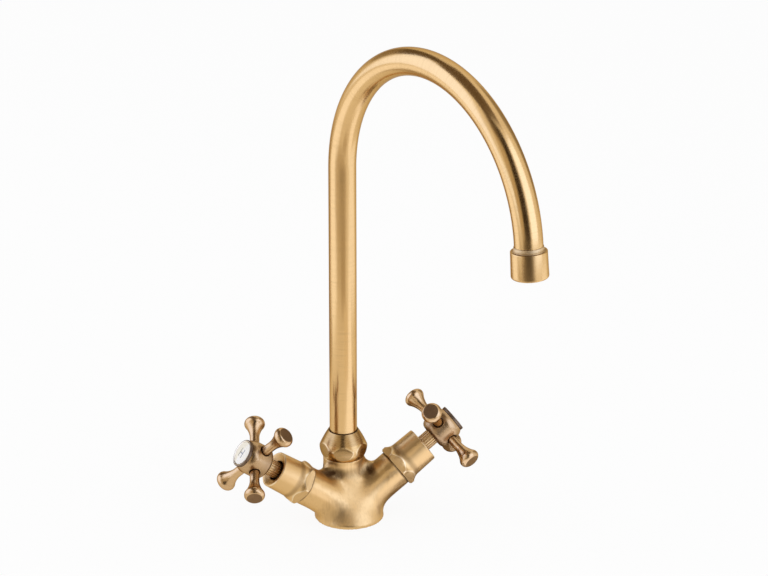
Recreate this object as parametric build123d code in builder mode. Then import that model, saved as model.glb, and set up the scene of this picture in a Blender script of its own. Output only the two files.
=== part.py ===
# Kitchen mixer tap in aged brass: two cross handles and a tall arched spout that swivels.
# The origin is the middle of the foot on the worktop, with +Z up and the user at -Y.
import os
from math import cos, radians, sin

from build123d import *

os.makedirs("parts", exist_ok=True)

# Driving dimensions, in millimetres and degrees.

# Fits: a running or screwed fit, two flat faces that slide, and pieces that only pass each other.
RUN_FIT = 0.05
FACE_GAP = 0.05
PASS_GAP = 0.3

# Body casting: a round foot that leans back into the collar under the spout.
FOOT_R = 25.3
WAIST_R = 20.3
WAIST_Y = 5.4
WAIST_Z = 18.0
COLLAR_R = 15.0
COLLAR_H = 9.2
COLLAR_TOP = 44.2
SPOUT_Y = 11.0
BRANCH_BLEND = 6.2
SPIGOT_R = 13.2
SPIGOT_H = 8.8
SOCKET_DEPTH = 27.0

# Valve arms of the body: one each side, rising outwards from a point above the foot. They swell
# towards their roots: each row is a distance along the axis, then how much wider, taller and lower.
VALVE_TILT = 35.2
VALVE_AXIS_Z = 5.9
ARM_R = 14.1
ARM_END = 45.2
ARM_SWELL = ((4.0, 5.9, 2.9, 3.0), (18.0, 1.6, 0.8, 0.8), (27.0, 0.3, 0.1, 0.1), (34.0, 0.0, 0.0, 0.0))
VALVE_BORE_R = 10.25
VALVE_BORE_DEPTH = 21.2
SUPPLY_R = 4.5
SUPPLY_DEPTH = 14.0
PASSAGE_R = 2.5
PASSAGE_RISE = 4.0

# Underside: two threaded inlets, one threaded stud hole and the seal's groove.
INLET_R = 4.5
INLET_DEPTH = 13.0
INLET_SPREAD = 10.0
STUD_R = 3.4
STUD_DEPTH = 11.0
STUD_Y = -11.5
SEAL_R = 21.5
SEAL_W = 2.6
SEAL_H = 2.0

# Spout nut and the two washers that the spout turns between.
NUT_FOOT_R = 15.1
NUT_FOOT_CURVE = 0.5
NUT_R = 17.45
NUT_BELLY_H = 7.8
NUT_BELLY_ROUND = 2.0
NUT_CONE_CURVE = 0.3
NUT_TOP_R = 11.0
NUT_H = 20.1
NUT_SIDES = 6
NUT_FLATS = 32.0
NUT_TURN = -22.0
BEARING_R = 11.9
BEARING_T = 1.0

# Spout: a bent tube, and the turned tail that carries it in the body's socket.
TUBE_R = 10.0
TUBE_WALL = 1.2
ARC_R = 106.0
ARC_CENTRE_Z = 268.0
ARC_SWEEP = 175.0
SPOUT_TURN = 14.8
OUTLET_RUN = 3.7
TAIL_R = 8.95
TAIL_BORE_R = 6.2
TAIL_L = 19.0
TAIL_FLANGE_R = 11.8
TAIL_FLANGE_T = 3.0
TAIL_TENON_L = 12.0
TAIL_RING_INSET = 5.0
TAIL_RING_STEP = 7.0
TAIL_RINGS = 2
RING_SECTION = 1.8

# Outlet collar and aerator, on the end of the tube.
OUTLET_FLARE_R = 11.4
OUTLET_FLARE_H = 3.0
OUTLET_LIP = 0.3
OUTLET_SOCKET = 4.0
OUTLET_THREAD_R = 10.9
OUTLET_THREAD_L = 9.0
AERATOR_TOP_R = 12.8
AERATOR_R = 13.1
AERATOR_H = 19.2
AERATOR_EDGE = 0.5
AERATOR_ROUND = 1.7
AERATOR_MOUTH_R = 9.6
AERATOR_LIP_T = 1.5
AERATOR_WASHER_T = 1.8
AERATOR_WASHER_W = 2.6
AERATOR_NOSE_INSET = 0.4
AERATOR_HOLE_R = 0.9
AERATOR_HOLE_DEPTH = 5.0
AERATOR_HOLE_PITCH = 3.4
AERATOR_HOLE_RINGS = 2
AERATOR_FIRST_RING = 6

# Valve cartridge: a turned brass sleeve screwed into the arm.
SLEEVE_R = 8.9
CHAMBER_R = 7.6
FLANGE_R = 12.0
FLANGE_T = 5.0
NECK_R = 7.0
NECK_H = 14.2
WINDOW_W = 8.0
WINDOW_H = 4.0

# Ceramic discs, the seal under them and the thrust washer above.
SEAT_SEAL_H = 3.0
SEAT_SEAL_WALL = 0.9
DISC_R = 7.4
FIXED_DISC_T = 3.5
MOVING_DISC_T = 3.0
DISC_PORT_R = 1.9
DISC_PORT_AT = 4.6
DRIVE_W = 5.0
DRIVE_DEPTH = 1.2
THRUST_T = 1.2

# Spindle, its clip and the splined sleeve that carries the handle.
SPINDLE_R = 4.6
SPINDLE_FOOT_T = 2.4
SPINDLE_RING_INSET = 2.0
SPINDLE_RING_STEP = 5.0
SPINDLE_RINGS = 2
STUB_R = 4.0
STUB_FLATS = 6.4
STUB_INSET = 1.0
CLIP_T = 1.0
CLIP_R = 6.0
CLIP_GROOVE = 0.6
CLIP_MOUTH = 5.0
SPLINE_TIP_R = 6.1
SPLINE_ROOT_R = 5.5
SPLINE_TEETH = 20
SPLINE_TOOTH_W = 0.85

# Shroud: a bell over the cartridge, with six scallops round its skirt.
SHROUD_L = 26.2
SHROUD_R = 13.4
SHROUD_NECK_R = 13.8
SHROUD_EDGE = 0.6
SHROUD_DISH = 2.4
SHROUD_DISH_R = 12.2
SHROUD_BORE_R = 7.6
SHROUD_LIP_H = 7.2
SHROUD_CAVITY_R = 11.0
SKIRT_R = 16.4
SKIRT_H = 3.4
SKIRT_CHAMFER = 1.0
SKIRT_FLARE_H = 6.4
SKIRT_SIDES = 6
SKIRT_FLATS = 29.0
HOT_SKIRT_TURN = 0.0
COLD_SKIRT_TURN = -8.0

# Cross handle: a turned hub, four trumpet arms, a bezel with a porcelain disc, and one screw.
HUB_GAP = 8.6
HUB_LENGTH = 18.9
HUB_R = 12.4
HUB_REAR_R = 8.4
HUB_REAR_ROUND = 4.2
HUB_FRONT_R = 10.1
HUB_FRONT_ROUND = 5.6
HUB_BORE_DEPTH = 11.6
HUB_WEB_T = 3.5
HANDLE_ARMS = 4
HOT_ARM_ANGLE = 56.7
COLD_ARM_ANGLE = -56.0
ARM_PLANE = 9.4
HANDLE_REACH = 36.0
HANDLE_NECK_R = 3.5
HANDLE_FLARE_FROM = 20.0
HANDLE_FLARE_TO = 30.2
HANDLE_FLARE_R = 6.75
HANDLE_TIP_R = 5.3
TENON_R = 2.7
TENON_L = 3.0
SPOT_R = 4.2
SPOT_DEPTH = 1.2
BEZEL_R = 10.3
BEZEL_T = 2.3
BEZEL_EDGE = 0.5
BEZEL_LIP = 1.7
BEZEL_RECESS = 1.3
BEZEL_STEM_R = 7.0
BEZEL_STEM_WALL = 1.6
BEZEL_STEM_L = 3.0
DISC_INSET = 0.35
DISC_CROWN = 0.7
SCREW_R = 2.0
SCREW_L = 12.0
SCREW_HEAD_R = 3.9
SCREW_HEAD_H = 2.2

# Places along a valve's axis, from its start inside the body.
SEAT = ARM_END - VALVE_BORE_DEPTH
SLEEVE_END = SEAT + SEAT_SEAL_WALL
FIXED_DISC_AT = SEAT + SEAT_SEAL_H
MOVING_DISC_AT = FIXED_DISC_AT + FIXED_DISC_T + FACE_GAP
THRUST_AT = MOVING_DISC_AT + MOVING_DISC_T + SPINDLE_FOOT_T + FACE_GAP
CHAMBER_TOP = THRUST_AT + THRUST_T
WINDOW_AT = CHAMBER_TOP - WINDOW_H / 2
FLANGE_TOP = ARM_END + FLANGE_T
NECK_TOP = FLANGE_TOP + NECK_H
CLIP_AT = NECK_TOP + FACE_GAP
SLEEVE_AT = CLIP_AT + CLIP_T + FACE_GAP
SHROUD_END = ARM_END + SHROUD_L
HUB_REAR = SHROUD_END + HUB_GAP
HUB_FRONT = HUB_REAR + HUB_LENGTH
HUB_BORE_END = HUB_REAR + HUB_BORE_DEPTH
HUB_WEB_END = HUB_BORE_END + HUB_WEB_T
SLEEVE_TOP = HUB_BORE_END - PASS_GAP
SPINDLE_END = HUB_BORE_END - STUB_INSET
BEZEL_FACE = HUB_FRONT + BEZEL_T
DISC_SEAT = BEZEL_FACE - BEZEL_RECESS
SPOT_AT = HUB_R - SPOT_DEPTH
spindle_rings = [ARM_END + SPINDLE_RING_INSET + turn * SPINDLE_RING_STEP for turn in range(SPINDLE_RINGS)]

# Heights up the spout's column.
SPIGOT_TOP = COLLAR_TOP + SPIGOT_H
SOCKET_FLOOR = SPIGOT_TOP - SOCKET_DEPTH
TAIL_FLANGE_AT = SPIGOT_TOP + BEARING_T + FACE_GAP
TAIL_END = TAIL_FLANGE_AT - TAIL_L
TUBE_FOOT = TAIL_FLANGE_AT + TAIL_FLANGE_T
UPPER_BEARING_AT = TUBE_FOOT + FACE_GAP
NUT_SHOULDER = UPPER_BEARING_AT + BEARING_T
NUT_TOP = COLLAR_TOP + NUT_H
tail_rings = [TAIL_END + TAIL_RING_INSET + turn * TAIL_RING_STEP for turn in range(TAIL_RINGS)]

# Places along the stream, from the top of the aerator.
INSERT_TOP = OUTLET_THREAD_L + AERATOR_WASHER_T
INSERT_SEAT = AERATOR_H - AERATOR_LIP_T

# Radii of bores that take a turned piece.
SOCKET_R = TAIL_R + RUN_FIT
TUBE_BORE_R = TUBE_R - TUBE_WALL
NUT_BORE_R = TUBE_R + PASS_GAP
THREAD_R = VALVE_BORE_R - RUN_FIT
INSERT_R = OUTLET_THREAD_R - RUN_FIT


# Frames: in each one Z runs along the axis of what is turned there.
def valve_frame(hand):
    """Start of a valve's axis inside the body: Z runs out along the arm, X points to the user."""
    tilt = radians(VALVE_TILT)
    return Plane((0, 0, VALVE_AXIS_Z), x_dir=(0, -1, 0), z_dir=(hand * cos(tilt), 0, sin(tilt)))


def handle_arm_frame(frame, angle):
    """Middle of a handle, with Z out along the arm at this angle round the valve's axis."""
    outward = frame.x_dir * cos(radians(angle)) + frame.y_dir * sin(radians(angle))
    return Plane(frame.offset(HUB_REAR + ARM_PLANE).origin, x_dir=frame.z_dir, z_dir=outward)


def turned_about(angle, height):
    """Level plane on the spout's column: X points at this angle from the front."""
    direction = (sin(radians(angle)), -cos(radians(angle)), 0)
    return Plane((0, SPOUT_Y, height), x_dir=direction, z_dir=(0, 0, 1))


def half_section(frame):
    """Plane for a turned outline: its X is the radius and its Y the distance along the axis."""
    return Plane(frame.origin, x_dir=frame.x_dir, z_dir=-frame.y_dir)


def axis_of(frame):
    return Axis(frame.origin, frame.z_dir)


def ring_middle(shaft_r):
    """Radius of an O-ring's core, so that the ring stands just proud of its shaft."""
    return shaft_r + RUN_FIT / 2 - RING_SECTION / 2


def write(piece, name):
    piece.label = name
    export_step(piece, f"parts/{name}.step")


foot_frame = Plane((0, 0, 0), x_dir=(0, 1, 0), z_dir=(0, 0, 1))
column_frame = turned_about(SPOUT_TURN, 0)
hands = {"hot": -1, "cold": 1}
valve_frames = {side: valve_frame(hand) for side, hand in hands.items()}
arm_angles = {"hot": HOT_ARM_ANGLE, "cold": COLD_ARM_ANGLE}
skirt_turns = {"hot": HOT_SKIRT_TURN, "cold": COLD_SKIRT_TURN}

# The spout's outlet: Z runs out along the stream from the top of the aerator.
arc_end = Vector(
    ARC_R * (1 - cos(radians(ARC_SWEEP))),
    ARC_CENTRE_Z + ARC_R * sin(radians(ARC_SWEEP)),
)
stream = Vector(sin(radians(ARC_SWEEP)), cos(radians(ARC_SWEEP)))
spout_plane = half_section(column_frame)
outlet_frame = Plane(
    spout_plane.from_local_coords(arc_end + stream * OUTLET_RUN),
    x_dir=spout_plane.z_dir,
    z_dir=spout_plane.x_dir * stream.X + spout_plane.y_dir * stream.Y,
)


# Body: one brass casting. The foot leans back into the collar, and the two valve arms blend into it.
with BuildPart() as body:
    with BuildSketch(foot_frame):
        Circle(FOOT_R)
    with BuildSketch(foot_frame.offset(WAIST_Z)):
        with Locations((WAIST_Y, 0)):
            Circle(WAIST_R)
    for height in (COLLAR_TOP - COLLAR_H, COLLAR_TOP):
        with BuildSketch(foot_frame.offset(height)):
            with Locations((SPOUT_Y, 0)):
                Circle(COLLAR_R)
    loft()
    for side, frame in valve_frames.items():
        for along, wider, taller, lower in ARM_SWELL:
            with BuildSketch(frame.offset(along)):
                with Locations((0, hands[side] * lower)):
                    Ellipse(ARM_R + wider, ARM_R + taller)
        with BuildSketch(frame.offset(ARM_END)):
            Circle(ARM_R)
        loft()
    split(bisect_by=Plane.XY, keep=Keep.TOP)
    side_loops = body.edges().filter_by(lambda edge: edge.is_closed and abs(edge.center().X) > SOCKET_R)
    branch_loops = side_loops.sort_by(lambda edge: abs(edge.center().X))[: len(hands)]
    fillet(branch_loops, BRANCH_BLEND)
    # Threaded spigot for the nut, and the socket that the spout's tail turns in.
    with BuildSketch(turned_about(0, COLLAR_TOP)):
        Circle(SPIGOT_R)
    extrude(amount=SPIGOT_H)
    with BuildSketch(turned_about(0, SPIGOT_TOP)):
        Circle(SOCKET_R)
    extrude(amount=-SOCKET_DEPTH, mode=Mode.SUBTRACT)
    # Each arm: the cartridge's bore, the supply below its seat, and the way to the spout's socket.
    for frame in valve_frames.values():
        with BuildSketch(frame.offset(SEAT)):
            Circle(VALVE_BORE_R)
        extrude(amount=VALVE_BORE_DEPTH, mode=Mode.SUBTRACT)
        with BuildSketch(frame.offset(SEAT)):
            Circle(SUPPLY_R)
        extrude(amount=-SUPPLY_DEPTH, mode=Mode.SUBTRACT)
        mixing_point = Vector(0, SPOUT_Y, SOCKET_FLOOR + PASSAGE_RISE)
        passage = frame.offset(WINDOW_AT).origin - mixing_point
        with BuildSketch(Plane(mixing_point, z_dir=passage)):
            Circle(PASSAGE_R)
        extrude(amount=passage.length, mode=Mode.SUBTRACT)
    # Underside: inlets, stud hole and the groove of the base seal.
    with BuildSketch(foot_frame):
        with Locations((0, INLET_SPREAD), (0, -INLET_SPREAD)):
            Circle(INLET_R)
    extrude(amount=INLET_DEPTH, mode=Mode.SUBTRACT)
    with BuildSketch(foot_frame):
        with Locations((STUD_Y, 0)):
            Circle(STUD_R)
    extrude(amount=STUD_DEPTH, mode=Mode.SUBTRACT)
    with BuildSketch(foot_frame):
        Circle(SEAL_R + SEAL_W / 2 + RUN_FIT)
        Circle(SEAL_R - SEAL_W / 2 - RUN_FIT, mode=Mode.SUBTRACT)
    extrude(amount=SEAL_H, mode=Mode.SUBTRACT)
write(body.part, "body")

# Base seal: a flat rubber ring, flush with the foot.
with BuildPart() as base_seal:
    with BuildSketch(foot_frame):
        Circle(SEAL_R + SEAL_W / 2)
        Circle(SEAL_R - SEAL_W / 2, mode=Mode.SUBTRACT)
    extrude(amount=SEAL_H)
write(base_seal.part, "base_seal")

# Spout nut: turned as a bell with a rounded cone, then milled with six flats round its belly.
with BuildPart() as spout_nut:
    with BuildSketch(half_section(turned_about(0, 0))) as bell:
        with BuildLine():
            bore = Polyline(
                (NUT_FOOT_R, COLLAR_TOP),
                (SPIGOT_R + RUN_FIT, COLLAR_TOP),
                (SPIGOT_R + RUN_FIT, SPIGOT_TOP + PASS_GAP),
                (BEARING_R + PASS_GAP, SPIGOT_TOP + PASS_GAP),
                (BEARING_R + PASS_GAP, NUT_SHOULDER),
                (NUT_BORE_R, NUT_SHOULDER),
                (NUT_BORE_R, NUT_TOP),
                (NUT_TOP_R, NUT_TOP),
            )
            cone = SagittaArc(bore @ 1, (NUT_R, COLLAR_TOP + NUT_BELLY_H), NUT_CONE_CURVE)
            SagittaArc(cone @ 1, bore @ 0, NUT_FOOT_CURVE)
        make_face()
        fillet(bell.vertices().sort_by(Axis.X)[-1], NUT_BELLY_ROUND)
    revolve(axis=axis_of(turned_about(0, 0)))
    with BuildSketch(turned_about(NUT_TURN, COLLAR_TOP)):
        RegularPolygon(NUT_FLATS / 2, NUT_SIDES, major_radius=False, rotation=180 / NUT_SIDES)
    extrude(amount=NUT_H, mode=Mode.INTERSECT)
write(spout_nut.part, "spout_nut")

# Bearing washers: the spout's flange turns between them.
for name, height, inner_r in (
    ("lower_bearing", SPIGOT_TOP, TAIL_R + PASS_GAP),
    ("upper_bearing", UPPER_BEARING_AT, TUBE_R + PASS_GAP),
):
    with BuildPart() as bearing:
        with BuildSketch(turned_about(0, height)):
            Circle(BEARING_R)
            Circle(inner_r, mode=Mode.SUBTRACT)
        extrude(amount=BEARING_T)
    write(bearing.part, name)

# Spout tail: a turned spigot soldered into the tube, with a flange to turn on and two O-ring grooves.
with BuildPart() as spout_tail:
    with BuildSketch(column_frame.offset(TAIL_END)):
        Circle(TAIL_R)
    extrude(amount=TAIL_L)
    with BuildSketch(column_frame.offset(TAIL_FLANGE_AT)):
        Circle(TAIL_FLANGE_R)
    extrude(amount=TAIL_FLANGE_T)
    with BuildSketch(column_frame.offset(TUBE_FOOT)):
        Circle(TUBE_BORE_R - RUN_FIT)
    extrude(amount=TAIL_TENON_L)
    with BuildSketch(column_frame.offset(TAIL_END)):
        Circle(TAIL_BORE_R)
    extrude(amount=TAIL_L + TAIL_FLANGE_T + TAIL_TENON_L, mode=Mode.SUBTRACT)
    for height in tail_rings:
        with BuildSketch(column_frame.offset(height - RING_SECTION / 2 - RUN_FIT)):
            Circle(TAIL_R)
            Circle(TAIL_R - RING_SECTION, mode=Mode.SUBTRACT)
        extrude(amount=RING_SECTION + 2 * RUN_FIT, mode=Mode.SUBTRACT)
write(spout_tail.part, "spout_tail")

# Spout O-rings: two alike, in the tail's grooves.
with BuildPart() as spout_o_rings:
    for height in tail_rings:
        with BuildSketch(half_section(column_frame)):
            with Locations((ring_middle(TAIL_R), height)):
                Circle(RING_SECTION / 2)
        revolve(axis=axis_of(column_frame))
write(spout_o_rings.part, "spout_o_rings")

# Spout tube: one length of tube, bent once over the sink.
with BuildPart() as spout_tube:
    with BuildLine(spout_plane):
        rise = Line((0, TUBE_FOOT), (0, ARC_CENTRE_Z))
        arch = JernArc(rise @ 1, rise % 1, ARC_R, -ARC_SWEEP)
        Line(arch @ 1, arch @ 1 + (arch % 1) * (OUTLET_RUN + OUTLET_SOCKET))
    with BuildSketch(column_frame.offset(TUBE_FOOT)):
        Circle(TUBE_R)
        Circle(TUBE_BORE_R, mode=Mode.SUBTRACT)
    sweep()
write(spout_tube.part, "spout_tube")

# Outlet collar: soldered round the tube's end, flared above and threaded below.
with BuildPart() as outlet_collar:
    with BuildSketch(half_section(outlet_frame)):
        with BuildLine():
            thread = Polyline(
                (OUTLET_FLARE_R, 0),
                (OUTLET_THREAD_R, 0),
                (OUTLET_THREAD_R, OUTLET_THREAD_L),
                (TUBE_BORE_R, OUTLET_THREAD_L),
                (TUBE_BORE_R, OUTLET_SOCKET),
                (TUBE_R + RUN_FIT, OUTLET_SOCKET),
                (TUBE_R + RUN_FIT, -OUTLET_FLARE_H),
                (TUBE_R + RUN_FIT + OUTLET_LIP, -OUTLET_FLARE_H),
            )
            TangentArc(thread @ 1, thread @ 0, tangent=(0, 1))
        make_face()
    revolve(axis=axis_of(outlet_frame))
write(outlet_collar.part, "outlet_collar")

# Aerator housing: a turned cup that screws over the collar and holds the insert on its lip.
with BuildPart() as aerator_housing:
    with BuildSketch(half_section(outlet_frame)):
        with BuildLine():
            cup = Polyline(
                (AERATOR_R - AERATOR_ROUND, AERATOR_H),
                (AERATOR_MOUTH_R, AERATOR_H),
                (AERATOR_MOUTH_R, INSERT_SEAT),
                (OUTLET_THREAD_R + RUN_FIT, INSERT_SEAT),
                (OUTLET_THREAD_R + RUN_FIT, 0),
                (AERATOR_TOP_R - AERATOR_EDGE, 0),
                (AERATOR_TOP_R, AERATOR_EDGE),
                (AERATOR_R, AERATOR_H - AERATOR_ROUND),
            )
            TangentArc(cup @ 1, cup @ 0, tangent=cup % 1)
        make_face()
    revolve(axis=axis_of(outlet_frame))
write(aerator_housing.part, "aerator_housing")

# Aerator washer: a rubber ring between the collar and the insert.
with BuildPart() as aerator_washer:
    with BuildSketch(outlet_frame.offset(OUTLET_THREAD_L)):
        Circle(INSERT_R)
        Circle(INSERT_R - AERATOR_WASHER_W, mode=Mode.SUBTRACT)
    extrude(amount=AERATOR_WASHER_T)
write(aerator_washer.part, "aerator_washer")

# Aerator insert: a moulded plug whose nose shows in the mouth, with rings of holes for the stream.
with BuildPart() as aerator_insert:
    with BuildSketch(outlet_frame.offset(INSERT_TOP)):
        Circle(INSERT_R)
    extrude(amount=INSERT_SEAT - INSERT_TOP)
    with BuildSketch(outlet_frame.offset(INSERT_SEAT)):
        Circle(AERATOR_MOUTH_R - PASS_GAP)
    extrude(amount=AERATOR_LIP_T - AERATOR_NOSE_INSET)
    with BuildSketch(outlet_frame.offset(AERATOR_H - AERATOR_NOSE_INSET)):
        Circle(AERATOR_HOLE_R)
        for ring in range(1, AERATOR_HOLE_RINGS + 1):
            with PolarLocations(ring * AERATOR_HOLE_PITCH, ring * AERATOR_FIRST_RING):
                Circle(AERATOR_HOLE_R)
    extrude(amount=-AERATOR_HOLE_DEPTH, mode=Mode.SUBTRACT)
write(aerator_insert.part, "aerator_insert")


def make_cartridge(frame):
    """Cartridge body: a turned sleeve with a threaded flange, two windows and the spindle's neck."""
    with BuildPart() as cartridge:
        for start, end, radius in (
            (SLEEVE_END, CHAMBER_TOP, SLEEVE_R),
            (CHAMBER_TOP, ARM_END, THREAD_R),
            (ARM_END, FLANGE_TOP, FLANGE_R),
            (FLANGE_TOP, NECK_TOP, NECK_R),
        ):
            with BuildSketch(frame.offset(start)):
                Circle(radius)
            extrude(amount=end - start)
        with BuildSketch(frame.offset(SLEEVE_END)):
            Circle(CHAMBER_R)
        extrude(amount=CHAMBER_TOP - SLEEVE_END, mode=Mode.SUBTRACT)
        with BuildSketch(frame.offset(CHAMBER_TOP)):
            Circle(SPINDLE_R + RUN_FIT)
        extrude(amount=NECK_TOP - CHAMBER_TOP, mode=Mode.SUBTRACT)
        with BuildSketch(frame.offset(WINDOW_AT - WINDOW_H / 2)):
            Rectangle(2 * SLEEVE_R, WINDOW_W)
        extrude(amount=WINDOW_H, mode=Mode.SUBTRACT)
    return cartridge.part


def make_seat_seal(frame):
    """Seat seal: a rubber ring pressed between the body's seat and the fixed disc."""
    with BuildPart() as seat_seal:
        with BuildSketch(frame.offset(SEAT)):
            Circle(DISC_R)
            Circle(DISC_R - SEAT_SEAL_WALL, mode=Mode.SUBTRACT)
        extrude(amount=SEAT_SEAL_H)
    return seat_seal.part


def make_fixed_disc(frame):
    """Fixed disc: ceramic, with two ports in line with the user."""
    with BuildPart() as fixed_disc:
        with BuildSketch(frame.offset(FIXED_DISC_AT)):
            Circle(DISC_R)
            with Locations((DISC_PORT_AT, 0), (-DISC_PORT_AT, 0)):
                Circle(DISC_PORT_R, mode=Mode.SUBTRACT)
        extrude(amount=FIXED_DISC_T)
    return fixed_disc.part


def make_moving_disc(frame):
    """Moving disc: its ports stand a quarter turn from the fixed ones, and a groove takes the spindle."""
    with BuildPart() as moving_disc:
        with BuildSketch(frame.offset(MOVING_DISC_AT)):
            Circle(DISC_R)
            with Locations((0, DISC_PORT_AT), (0, -DISC_PORT_AT)):
                Circle(DISC_PORT_R, mode=Mode.SUBTRACT)
        extrude(amount=MOVING_DISC_T)
        with BuildSketch(frame.offset(MOVING_DISC_AT + MOVING_DISC_T)):
            Rectangle(2 * DISC_R, DRIVE_W + 2 * RUN_FIT)
        extrude(amount=-DRIVE_DEPTH, mode=Mode.SUBTRACT)
    return moving_disc.part


def make_thrust_washer(frame):
    """Thrust washer: a plastic ring under the chamber's roof that the spindle's foot turns against."""
    with BuildPart() as thrust_washer:
        with BuildSketch(frame.offset(THRUST_AT)):
            Circle(DISC_R)
            Circle(SPINDLE_R + PASS_GAP, mode=Mode.SUBTRACT)
        extrude(amount=THRUST_T)
    return thrust_washer.part


def make_spindle(frame):
    """Spindle: a drive bar below, two O-ring grooves and a clip groove on the stem, and a flatted stub."""
    foot_start = MOVING_DISC_AT + MOVING_DISC_T - DRIVE_DEPTH
    foot_top = THRUST_AT - FACE_GAP
    with BuildPart() as spindle:
        with BuildSketch(frame.offset(foot_start)):
            Circle(DISC_R)
            Rectangle(2 * DISC_R, DRIVE_W, mode=Mode.INTERSECT)
        extrude(amount=foot_top - foot_start)
        with BuildSketch(frame.offset(foot_top)):
            Circle(SPINDLE_R)
        extrude(amount=SLEEVE_AT - foot_top)
        with BuildSketch(frame.offset(SLEEVE_AT)):
            Circle(STUB_R)
            Rectangle(2 * STUB_R, STUB_FLATS, mode=Mode.INTERSECT)
        extrude(amount=SPINDLE_END - SLEEVE_AT)
        for place in spindle_rings:
            with BuildSketch(frame.offset(place - RING_SECTION / 2 - RUN_FIT)):
                Circle(SPINDLE_R)
                Circle(SPINDLE_R - RING_SECTION, mode=Mode.SUBTRACT)
            extrude(amount=RING_SECTION + 2 * RUN_FIT, mode=Mode.SUBTRACT)
        with BuildSketch(frame.offset(CLIP_AT)):
            Circle(SPINDLE_R)
            Circle(SPINDLE_R - CLIP_GROOVE, mode=Mode.SUBTRACT)
        extrude(amount=CLIP_T, mode=Mode.SUBTRACT)
        with BuildSketch(frame.offset(SPINDLE_END)):
            Circle(SCREW_R + RUN_FIT)
        extrude(amount=-SCREW_L, mode=Mode.SUBTRACT)
    return spindle.part


def make_spindle_o_rings(frame):
    """Spindle O-rings: two alike, in the stem's grooves."""
    with BuildPart() as spindle_o_rings:
        for place in spindle_rings:
            with BuildSketch(half_section(frame)):
                with Locations((ring_middle(SPINDLE_R), place)):
                    Circle(RING_SECTION / 2)
            revolve(axis=axis_of(frame))
    return spindle_o_rings.part


def make_spindle_clip(frame):
    """Spindle clip: an open spring ring on top of the neck that keeps the spindle in."""
    with BuildPart() as spindle_clip:
        with BuildSketch(frame.offset(CLIP_AT)):
            Circle(CLIP_R)
            Circle(SPINDLE_R - CLIP_GROOVE + RUN_FIT, mode=Mode.SUBTRACT)
            with Locations((CLIP_R, 0)):
                Rectangle(2 * CLIP_R, CLIP_MOUTH, mode=Mode.SUBTRACT)
        extrude(amount=CLIP_T)
    return spindle_clip.part


def spline_outline(gap):
    """Splined outline, on the sketch plane in use: a round core with teeth, larger all round by the gap."""
    Circle(SPLINE_ROOT_R + gap)
    with PolarLocations(SPLINE_ROOT_R, SPLINE_TEETH):
        Rectangle(2 * (SPLINE_TIP_R - SPLINE_ROOT_R), SPLINE_TOOTH_W + 2 * gap)
    Circle(SPLINE_TIP_R + gap, mode=Mode.INTERSECT)


def make_spline_sleeve(frame):
    """Spline sleeve: twenty teeth outside to carry the handle, two flats inside to turn the spindle."""
    with BuildPart() as spline_sleeve:
        with BuildSketch(frame.offset(SLEEVE_AT)):
            spline_outline(0)
        extrude(amount=SLEEVE_TOP - SLEEVE_AT)
        with BuildSketch(frame.offset(SLEEVE_AT)):
            Circle(STUB_R + RUN_FIT)
            Rectangle(2 * (STUB_R + RUN_FIT), STUB_FLATS + 2 * RUN_FIT, mode=Mode.INTERSECT)
        extrude(amount=SLEEVE_TOP - SLEEVE_AT, mode=Mode.SUBTRACT)
    return spline_sleeve.part


def make_shroud(frame, skirt_turn):
    """Shroud: a turned bell screwed on the cartridge's flange, with six scallops milled round its skirt."""
    skirt_bore = FLANGE_R + RUN_FIT
    step = FLANGE_TOP + PASS_GAP
    with BuildPart() as shroud:
        with BuildSketch(half_section(frame)):
            with BuildLine():
                inside = Polyline(
                    (SHROUD_NECK_R, ARM_END + SKIRT_H + SKIRT_FLARE_H),
                    (SHROUD_R, SHROUD_END - SHROUD_EDGE),
                    (SHROUD_R - SHROUD_EDGE, SHROUD_END),
                    (SHROUD_DISH_R, SHROUD_END),
                    (SHROUD_BORE_R, SHROUD_END - SHROUD_DISH),
                    (SHROUD_BORE_R, SHROUD_END - SHROUD_LIP_H),
                    (SHROUD_CAVITY_R, SHROUD_END - SHROUD_LIP_H),
                    (SHROUD_CAVITY_R, step),
                    (skirt_bore, step),
                    (skirt_bore, ARM_END),
                    (SKIRT_R - SKIRT_CHAMFER, ARM_END),
                    (SKIRT_R, ARM_END + SKIRT_CHAMFER),
                    (SKIRT_R, ARM_END + SKIRT_H),
                )
                TangentArc(inside @ 0, inside @ 1, tangent=(0, -1))
            make_face()
        revolve(axis=axis_of(frame))
        with BuildSketch(frame.offset(ARM_END)):
            RegularPolygon(SKIRT_FLATS / 2, SKIRT_SIDES, major_radius=False, rotation=skirt_turn)
        extrude(amount=SHROUD_L, mode=Mode.INTERSECT)
    return shroud.part


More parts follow.
